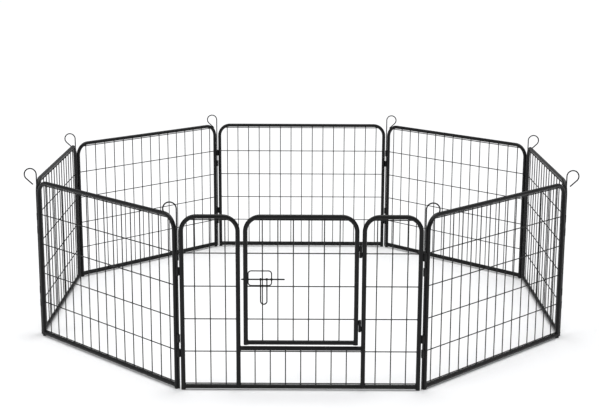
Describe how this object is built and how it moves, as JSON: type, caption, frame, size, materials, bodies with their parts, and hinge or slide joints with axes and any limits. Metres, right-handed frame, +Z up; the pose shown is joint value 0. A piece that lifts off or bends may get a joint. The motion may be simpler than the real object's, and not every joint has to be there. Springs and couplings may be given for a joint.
{
  "type": "pet playpen",
  "caption": "Octagonal wire-mesh pet playpen of tube-framed panels joined at the corners by looped drop pins, with a hinged gate closed by a sliding bolt.",
  "frame": {"origin": "on the floor at the middle of the pen", "axes": "+Z up; -Y towards the gate panel, so someone facing the gate from outside looks along +Y with +X on the right"},
  "size_m": [2.0532, 1.9756, 0.6445],
  "materials": {
    "tube_coat": "satin black powder coat",
    "mesh_coat": "satin black powder coat",
    "fitting_coat": "satin black powder coat",
    "pin_coat": "satin black powder coat",
    "cap_plastic": "matte black",
    "bare_steel": "zinc plated"
  },
  "bodies": {
    "gate_panel": {"gate_panel_left_hoop": "tube_coat", "gate_panel_right_hoop": "tube_coat", "gate_panel_bottom_rail": "tube_coat", "gate_panel_threshold_rail": "tube_coat", "gate_panel_grids": "mesh_coat", "gate_panel_sleeves": "fitting_coat", "gate_panel_end_caps": "cap_plastic", "gate_panel_hinge_knuckles": "fitting_coat", "gate_panel_hinge_pins": "bare_steel"},
    "panel_front_right": {"front_right_hoop": "tube_coat", "front_right_bottom_rail": "tube_coat", "front_right_grid": "mesh_coat", "front_right_sleeves": "fitting_coat", "front_right_end_caps": "cap_plastic"},
    "panel_right": {"right_hoop": "tube_coat", "right_bottom_rail": "tube_coat", "right_grid": "mesh_coat", "right_sleeves": "fitting_coat", "right_end_caps": "cap_plastic"},
    "panel_back_right": {"back_right_hoop": "tube_coat", "back_right_bottom_rail": "tube_coat", "back_right_grid": "mesh_coat", "back_right_sleeves": "fitting_coat", "back_right_end_caps": "cap_plastic"},
    "panel_back": {"back_hoop": "tube_coat", "back_bottom_rail": "tube_coat", "back_grid": "mesh_coat", "back_sleeves": "fitting_coat", "back_end_caps": "cap_plastic"},
    "panel_back_left": {"back_left_hoop": "tube_coat", "back_left_bottom_rail": "tube_coat", "back_left_grid": "mesh_coat", "back_left_sleeves": "fitting_coat", "back_left_end_caps": "cap_plastic"},
    "panel_left": {"left_hoop": "tube_coat", "left_bottom_rail": "tube_coat", "left_grid": "mesh_coat", "left_sleeves": "fitting_coat", "left_end_caps": "cap_plastic"},
    "panel_front_left": {"front_left_hoop": "tube_coat", "front_left_bottom_rail": "tube_coat", "front_left_grid": "mesh_coat", "front_left_sleeves": "fitting_coat", "front_left_end_caps": "cap_plastic"},
    "gate": {"gate_hoop": "tube_coat", "gate_bottom_rail": "tube_coat", "gate_grid": "mesh_coat", "gate_hinge_knuckles": "fitting_coat", "latch_keeper": "fitting_coat"},
    "bolt": {"latch_bolt": "fitting_coat"},
    "bolt_handle": {"latch_handle": "fitting_coat"},
    "drop_pin_front_left": {"pin_front_left": "pin_coat"},
    "drop_pin_front_right": {"pin_front_right": "pin_coat"},
    "drop_pin_right_front": {"pin_right_front": "pin_coat"},
    "drop_pin_right_back": {"pin_right_back": "pin_coat"},
    "drop_pin_back_right": {"pin_back_right": "pin_coat"},
    "drop_pin_back_left": {"pin_back_left": "pin_coat"},
    "drop_pin_left_back": {"pin_left_back": "pin_coat"},
    "drop_pin_left_front": {"pin_left_front": "pin_coat"}
  },
  "joints": [
    {"name": "corner_front_right_hinge", "type": "hinge", "parent": "gate_panel", "child": "panel_front_right", "pos_m": [0.406, -0.98017, 0.3], "axis": [0, 0, 1], "range_deg": [-65, 65]},
    {"name": "corner_right_front_hinge", "type": "hinge", "parent": "panel_front_right", "child": "panel_right", "pos_m": [0.98017, -0.406, 0.3], "axis": [0, 0, 1], "range_deg": [-65, 65]},
    {"name": "corner_right_back_hinge", "type": "hinge", "parent": "panel_right", "child": "panel_back_right", "pos_m": [0.98017, 0.406, 0.3], "axis": [0, 0, 1], "range_deg": [-65, 65]},
    {"name": "corner_back_right_hinge", "type": "hinge", "parent": "panel_back_right", "child": "panel_back", "pos_m": [0.406, 0.98017, 0.3], "axis": [0, 0, 1], "range_deg": [-65, 65]},
    {"name": "corner_back_left_hinge", "type": "hinge", "parent": "panel_back", "child": "panel_back_left", "pos_m": [-0.406, 0.98017, 0.3], "axis": [0, 0, 1], "range_deg": [-65, 65]},
    {"name": "corner_left_back_hinge", "type": "hinge", "parent": "panel_back_left", "child": "panel_left", "pos_m": [-0.98017, 0.406, 0.3], "axis": [0, 0, 1], "range_deg": [-65, 65]},
    {"name": "corner_left_front_hinge", "type": "hinge", "parent": "panel_left", "child": "panel_front_left", "pos_m": [-0.98017, -0.406, 0.3], "axis": [0, 0, 1], "range_deg": [-65, 65]},
    {"name": "gate_hinge", "type": "hinge", "parent": "gate_panel", "child": "gate", "pos_m": [0.19512, -0.98017, 0.354], "axis": [0, 0, 1], "range_deg": [-100, 100]},
    {"name": "bolt_slide", "type": "slide", "parent": "gate", "child": "bolt", "axis": [1, 0, 0], "range_m": [-0.035, 0]},
    {"name": "bolt_handle_swing", "type": "hinge", "parent": "bolt", "child": "bolt_handle", "pos_m": [-0.1226, -0.98332, 0.384], "axis": [-1, 0, 0], "range_deg": [0, 175]},
    {"name": "pin_front_left_lift", "type": "slide", "parent": "panel_front_left", "child": "drop_pin_front_left", "axis": [0, 0, 1], "range_m": [0, 0.62]},
    {"name": "pin_front_right_lift", "type": "slide", "parent": "panel_front_right", "child": "drop_pin_front_right", "axis": [0, 0, 1], "range_m": [0, 0.62]},
    {"name": "pin_right_front_lift", "type": "slide", "parent": "panel_right", "child": "drop_pin_right_front", "axis": [0, 0, 1], "range_m": [0, 0.62]},
    {"name": "pin_right_back_lift", "type": "slide", "parent": "panel_right", "child": "drop_pin_right_back", "axis": [0, 0, 1], "range_m": [0, 0.62]},
    {"name": "pin_back_right_lift", "type": "slide", "parent": "panel_back_right", "child": "drop_pin_back_right", "axis": [0, 0, 1], "range_m": [0, 0.62]},
    {"name": "pin_back_left_lift", "type": "slide", "parent": "panel_back_left", "child": "drop_pin_back_left", "axis": [0, 0, 1], "range_m": [0, 0.62]},
    {"name": "pin_left_back_lift", "type": "slide", "parent": "panel_left", "child": "drop_pin_left_back", "axis": [0, 0, 1], "range_m": [0, 0.62]},
    {"name": "pin_left_front_lift", "type": "slide", "parent": "panel_left", "child": "drop_pin_left_front", "axis": [0, 0, 1], "range_m": [0, 0.62]}
  ],
  "couplings": [
    {"joint": "corner_right_front_hinge", "follows": "corner_front_right_hinge", "ratio": -1},
    {"joint": "corner_right_back_hinge", "follows": "corner_front_right_hinge", "ratio": 1},
    {"joint": "corner_back_right_hinge", "follows": "corner_front_right_hinge", "ratio": -1},
    {"joint": "corner_back_left_hinge", "follows": "corner_front_right_hinge", "ratio": 1},
    {"joint": "corner_left_back_hinge", "follows": "corner_front_right_hinge", "ratio": -1},
    {"joint": "corner_left_front_hinge", "follows": "corner_front_right_hinge", "ratio": 1}
  ]
}
